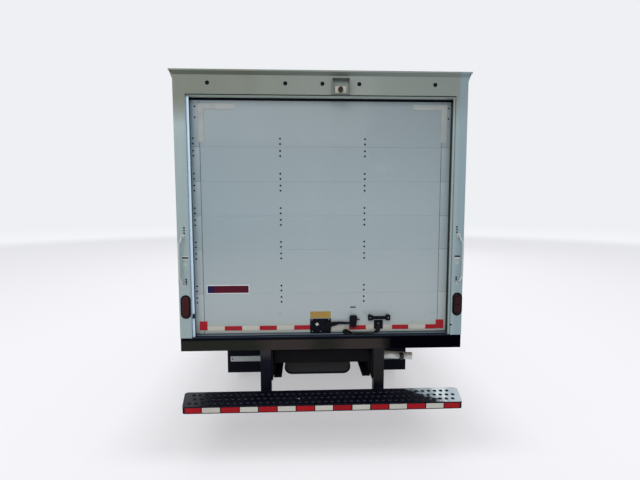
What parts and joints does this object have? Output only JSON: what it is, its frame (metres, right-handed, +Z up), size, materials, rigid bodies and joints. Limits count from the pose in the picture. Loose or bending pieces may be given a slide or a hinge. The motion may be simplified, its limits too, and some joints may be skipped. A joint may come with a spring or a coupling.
{
  "type": "low-cab-forward box truck",
  "caption": "Cab-over box truck: hollow load body with roll-up rear door and rear step on a ladder chassis, tilting cab with opening doors, steered front wheels, twin rear wheels.",
  "frame": {"origin": "on the ground under the middle of the truck's overall length and width", "axes": "+X to the truck's right, +Y forward along the truck, +Z up"},
  "size_m": [2.482, 7.1, 3.279],
  "materials": {
    "body_paint": "white paint, satin",
    "cab_paint": "white paint, gloss",
    "deck_wood": "oiled boards",
    "black_steel": "black paint, worn",
    "chassis_paint": "black chassis paint",
    "wheel_paint": "white paint",
    "tyre_rubber": "matt",
    "flap_rubber": "matt",
    "black_plastic": "grained",
    "lamp_red": "clear red lens",
    "lamp_clear": "clear lens",
    "bare_steel": "plated",
    "cast_iron": "painted casting",
    "glazing": "clear",
    "seat_cloth": "woven"
  },
  "bodies": {
    "chassis": {"load_floor": "deck_wood", "right_wall": "body_paint", "left_wall": "body_paint", "front_wall": "body_paint", "roof": "body_paint", "rear_frame": "body_paint", "rear_sill": "black_steel", "roll_up_door": "body_paint", "door_latch": "black_steel", "grab_handles": "bare_steel", "rear_lamps": "lamp_red", "rear_camera": "bare_steel", "step_bumper": "black_steel", "mudflaps": "flap_rubber", "chassis_frame": "chassis_paint", "leaf_springs": "chassis_paint", "rear_axle": "cast_iron", "engine": "cast_iron", "fuel_tank": "chassis_paint", "exhaust": "bare_steel", "battery_box": "black_plastic", "front_axle": "cast_iron", "front_bumper": "cab_paint"},
    "cab": {"cab_roof": "cab_paint", "cab_front": "cab_paint", "cab_back": "cab_paint", "cab_floor": "chassis_paint", "cab_glass": "glazing", "front_lamps": "lamp_clear", "grille": "black_plastic", "seats": "seat_cloth", "dashboard": "black_plastic", "mirrors": "black_plastic"},
    "left_door": {"door_left": "cab_paint", "door_glass_left": "glazing"},
    "right_door": {"door_right": "cab_paint", "door_glass_right": "glazing"},
    "left_knuckle": {"knuckle_left": "cast_iron"},
    "right_knuckle": {"knuckle_right": "cast_iron"},
    "track_rod": {"tie_rod": "cast_iron"},
    "wheel_front_left": {"rim_front_left": "wheel_paint", "tyre_front_left": "tyre_rubber"},
    "wheel_front_right": {"rim_front_right": "wheel_paint", "tyre_front_right": "tyre_rubber"},
    "wheel_rear_left": {"rim_rear_left": "wheel_paint", "tyre_rear_left": "tyre_rubber"},
    "wheel_rear_right": {"rim_rear_right": "wheel_paint", "tyre_rear_right": "tyre_rubber"}
  },
  "joints": [
    {"name": "cab_tilt", "type": "hinge", "parent": "chassis", "child": "cab", "pos_m": [0, 3.4, 0.67], "axis": [-1, 0, 0], "range_deg": [0, 45]},
    {"name": "door_left_swing", "type": "hinge", "parent": "cab", "child": "left_door", "pos_m": [-1.005, 3.33, 1.4], "axis": [0, 0, -1], "range_deg": [0, 70]},
    {"name": "door_right_swing", "type": "hinge", "parent": "cab", "child": "right_door", "pos_m": [1.005, 3.33, 1.4], "axis": [0, 0, 1], "range_deg": [0, 70]},
    {"name": "steer_left", "type": "hinge", "parent": "chassis", "child": "left_knuckle", "pos_m": [-0.72, 2.44, 0.3855], "axis": [0, 0, 1], "range_deg": [-35, 35]},
    {"name": "steer_right", "type": "hinge", "parent": "chassis", "child": "right_knuckle", "pos_m": [0.72, 2.44, 0.3855], "axis": [0, 0, 1], "range_deg": [-35, 35]},
    {"name": "track_rod_swing", "type": "hinge", "parent": "left_knuckle", "child": "track_rod", "pos_m": [-0.72, 2.25, 0.301], "axis": [0, 0, 1], "range_deg": [-35, 35]},
    {"name": "roll_front_left", "type": "hinge", "parent": "left_knuckle", "child": "wheel_front_left", "pos_m": [-0.83, 2.44, 0.3855], "axis": [1, 0, 0], "continuous": true},
    {"name": "roll_front_right", "type": "hinge", "parent": "right_knuckle", "child": "wheel_front_right", "pos_m": [0.83, 2.44, 0.3855], "axis": [1, 0, 0], "continuous": true},
    {"name": "roll_rear_left", "type": "hinge", "parent": "chassis", "child": "wheel_rear_left", "pos_m": [-0.825, -1.395, 0.3855], "axis": [1, 0, 0], "continuous": true},
    {"name": "roll_rear_right", "type": "hinge", "parent": "chassis", "child": "wheel_rear_right", "pos_m": [0.825, -1.395, 0.3855], "axis": [1, 0, 0], "continuous": true}
  ],
  "couplings": [
    {"joint": "steer_right", "follows": "steer_left", "ratio": 1},
    {"joint": "track_rod_swing", "follows": "steer_left", "ratio": -1}
  ]
}
